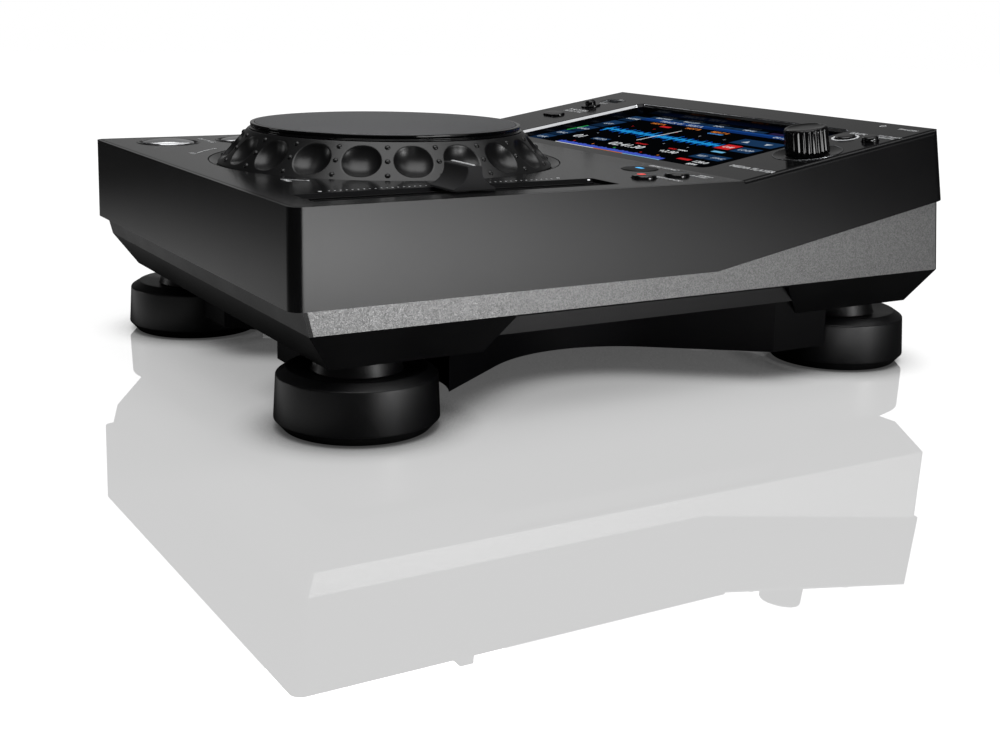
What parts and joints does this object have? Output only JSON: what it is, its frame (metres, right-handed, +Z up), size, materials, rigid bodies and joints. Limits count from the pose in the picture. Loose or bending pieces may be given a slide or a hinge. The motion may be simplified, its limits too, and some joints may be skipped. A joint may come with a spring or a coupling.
{
  "type": "tabletop media player",
  "caption": "Wedge-shaped tabletop player for performing recorded music, with a dimpled jog dial on its deck, a sloped touch screen and a long tempo fader, on four drum feet",
  "frame": {"origin": "centre of the bounding box on the floor, under the feet", "axes": "+Z up, +Y from the front edge to the rear, +X to the right"},
  "size_m": [0.2354, 0.2984, 0.1044],
  "materials": {
    "satin_black_plastic": "satin moulded plastic",
    "matte_black_plastic": "fine textured moulded plastic",
    "silver_paint": "metallic silver paint with a fine sparkle",
    "foot_plastic": "satin moulded plastic",
    "sole_rubber": "matte rubber",
    "screw_steel": "zinc plated",
    "ring_plastic": "satin moulded plastic",
    "bracket_metal": "cast, as cast",
    "bearing_bronze": "sintered bronze",
    "dial_plastic": "satin moulded plastic",
    "gloss_black": "high gloss",
    "contact_sheet": "printed film",
    "brushed_plate": "brushed and anodised dark grey",
    "shaft_steel": "turned",
    "moulded_plastic": "moulded",
    "zinc_case": "tinned sheet",
    "cap_plastic": "satin moulded plastic",
    "chrome_cap": "polished",
    "key_plastic": "satin translucent moulded plastic",
    "board_green": "solder mask",
    "touch_glass": "polished, over a lit display",
    "white_plastic": "moulded"
  },
  "bodies": {
    "player": {"cover": "satin_black_plastic", "base_tray": "matte_black_plastic", "bottom_pan": "matte_black_plastic", "trim_left": "silver_paint", "trim_right": "silver_paint", "foot_front_left": "foot_plastic", "foot_front_right": "foot_plastic", "foot_rear_left": "foot_plastic", "foot_rear_right": "foot_plastic", "foot_soles": "sole_rubber", "foot_screws": "screw_steel", "case_screws": "screw_steel", "jog_surround": "ring_plastic", "jog_bracket": "bracket_metal", "jog_bearing": "bearing_bronze", "encoder_sensor": "moulded_plastic", "fader_trim": "gloss_black", "fader_body": "zinc_case", "transport_bezels": "gloss_black", "control_board": "board_green", "screen_bezel": "gloss_black", "touch_glass": "touch_glass", "display_module": "zinc_case", "panel_board": "board_green", "browse_ring": "gloss_black", "browse_encoder": "zinc_case", "stick_socket": "zinc_case", "main_board": "board_green", "rear_sockets": "zinc_case", "mains_inlet": "moulded_plastic", "power_supply": "board_green"},
    "play_button": {"play_button": "chrome_cap"},
    "cue_button": {"cue_button": "chrome_cap"},
    "search_back_key": {"search_back_key": "key_plastic"},
    "search_forward_key": {"search_forward_key": "key_plastic"},
    "track_back_key": {"track_back_key": "key_plastic"},
    "track_forward_key": {"track_forward_key": "key_plastic"},
    "loop_in_key": {"loop_in_key": "key_plastic"},
    "loop_out_key": {"loop_out_key": "key_plastic"},
    "loop_exit_key": {"loop_exit_key": "key_plastic"},
    "jog_mode_button": {"jog_mode_button": "key_plastic"},
    "sync_button": {"sync_button": "key_plastic"},
    "tempo_lock_button": {"tempo_lock_button": "key_plastic"},
    "tempo_range_button": {"tempo_range_button": "key_plastic"},
    "back_button": {"back_button": "key_plastic"},
    "tag_button": {"tag_button": "key_plastic"},
    "time_mode_button": {"time_mode_button": "key_plastic"},
    "eject_button": {"eject_button": "key_plastic"},
    "power_button": {"power_button": "key_plastic"},
    "jog": {"jog_dial": "dial_plastic", "jog_gloss_ring": "gloss_black", "jog_touch_switch": "contact_sheet", "jog_shaft": "shaft_steel", "encoder_wheel": "moulded_plastic"},
    "jog_touch": {"jog_top_plate": "brushed_plate"},
    "tempo_fader": {"fader_cap": "cap_plastic", "fader_lever": "shaft_steel"},
    "browse_press": {"browse_plunger": "white_plastic"},
    "browse": {"browse_knob": "gloss_black", "browse_shaft": "shaft_steel"}
  },
  "joints": [
    {"name": "play_button_press", "type": "slide", "parent": "player", "child": "play_button", "axis": [0, 0, -1], "range_m": [0, 0.0008], "stiffness_N_per_m": 600},
    {"name": "cue_button_press", "type": "slide", "parent": "player", "child": "cue_button", "axis": [0, 0, -1], "range_m": [0, 0.0008], "stiffness_N_per_m": 600},
    {"name": "search_back_key_press", "type": "slide", "parent": "player", "child": "search_back_key", "axis": [0, 0, -1], "range_m": [0, 0.0005], "stiffness_N_per_m": 600},
    {"name": "search_forward_key_press", "type": "slide", "parent": "player", "child": "search_forward_key", "axis": [0, 0, -1], "range_m": [0, 0.0005], "stiffness_N_per_m": 600},
    {"name": "track_back_key_press", "type": "slide", "parent": "player", "child": "track_back_key", "axis": [0, 0, -1], "range_m": [0, 0.0005], "stiffness_N_per_m": 600},
    {"name": "track_forward_key_press", "type": "slide", "parent": "player", "child": "track_forward_key", "axis": [0, 0, -1], "range_m": [0, 0.0005], "stiffness_N_per_m": 600},
    {"name": "loop_in_key_press", "type": "slide", "parent": "player", "child": "loop_in_key", "axis": [0, 0, -1], "range_m": [0, 0.0005], "stiffness_N_per_m": 600},
    {"name": "loop_out_key_press", "type": "slide", "parent": "player", "child": "loop_out_key", "axis": [0, 0, -1], "range_m": [0, 0.0005], "stiffness_N_per_m": 600},
    {"name": "loop_exit_key_press", "type": "slide", "parent": "player", "child": "loop_exit_key", "axis": [0, 0, -1], "range_m": [0, 0.0005], "stiffness_N_per_m": 600},
    {"name": "jog_mode_button_press", "type": "slide", "parent": "player", "child": "jog_mode_button", "axis": [0, 0, -1], "range_m": [0, 0.0005], "stiffness_N_per_m": 600},
    {"name": "sync_button_press", "type": "slide", "parent": "player", "child": "sync_button", "axis": [0, 0, -1], "range_m": [0, 0.0005], "stiffness_N_per_m": 600},
    {"name": "tempo_lock_button_press", "type": "slide", "parent": "player", "child": "tempo_lock_button", "axis": [0, 0, -1], "range_m": [0, 0.0005], "stiffness_N_per_m": 600},
    {"name": "tempo_range_button_press", "type": "slide", "parent": "player", "child": "tempo_range_button", "axis": [0, 0, -1], "range_m": [0, 0.0005], "stiffness_N_per_m": 600},
    {"name": "back_button_press", "type": "slide", "parent": "player", "child": "back_button", "axis": [0, 0.1633, -0.9866], "range_m": [0, 0.0005], "stiffness_N_per_m": 600},
    {"name": "tag_button_press", "type": "slide", "parent": "player", "child": "tag_button", "axis": [0, 0.1633, -0.9866], "range_m": [0, 0.0005], "stiffness_N_per_m": 600},
    {"name": "time_mode_button_press", "type": "slide", "parent": "player", "child": "time_mode_button", "axis": [0, 0.1633, -0.9866], "range_m": [0, 0.0005], "stiffness_N_per_m": 600},
    {"name": "eject_button_press", "type": "slide", "parent": "player", "child": "eject_button", "axis": [0, 0.1633, -0.9866], "range_m": [0, 0.0005], "stiffness_N_per_m": 600},
    {"name": "power_button_press", "type": "slide", "parent": "player", "child": "power_button", "axis": [0, -1, 0], "range_m": [0, 0.002], "stiffness_N_per_m": 300},
    {"name": "jog_turn", "type": "hinge", "parent": "player", "child": "jog", "pos_m": [0, -0.059, 0.09275], "axis": [0, 0, 1], "continuous": true},
    {"name": "jog_touch_press", "type": "slide", "parent": "jog", "child": "jog_touch", "axis": [0, 0, -1], "range_m": [0, 0.0003], "stiffness_N_per_m": 4000},
    {"name": "tempo_slide", "type": "slide", "parent": "player", "child": "tempo_fader", "axis": [0, 1, 0], "range_m": [-0.05, 0.05]},
    {"name": "browse_push", "type": "slide", "parent": "player", "child": "browse_press", "axis": [0, 0.1633, -0.9866], "range_m": [0, 0.0005], "stiffness_N_per_m": 800},
    {"name": "browse_turn", "type": "hinge", "parent": "browse_press", "child": "browse", "pos_m": [0.1005, 0.08345, 0.09734], "axis": [0, -0.1633, 0.9866], "continuous": true}
  ]
}
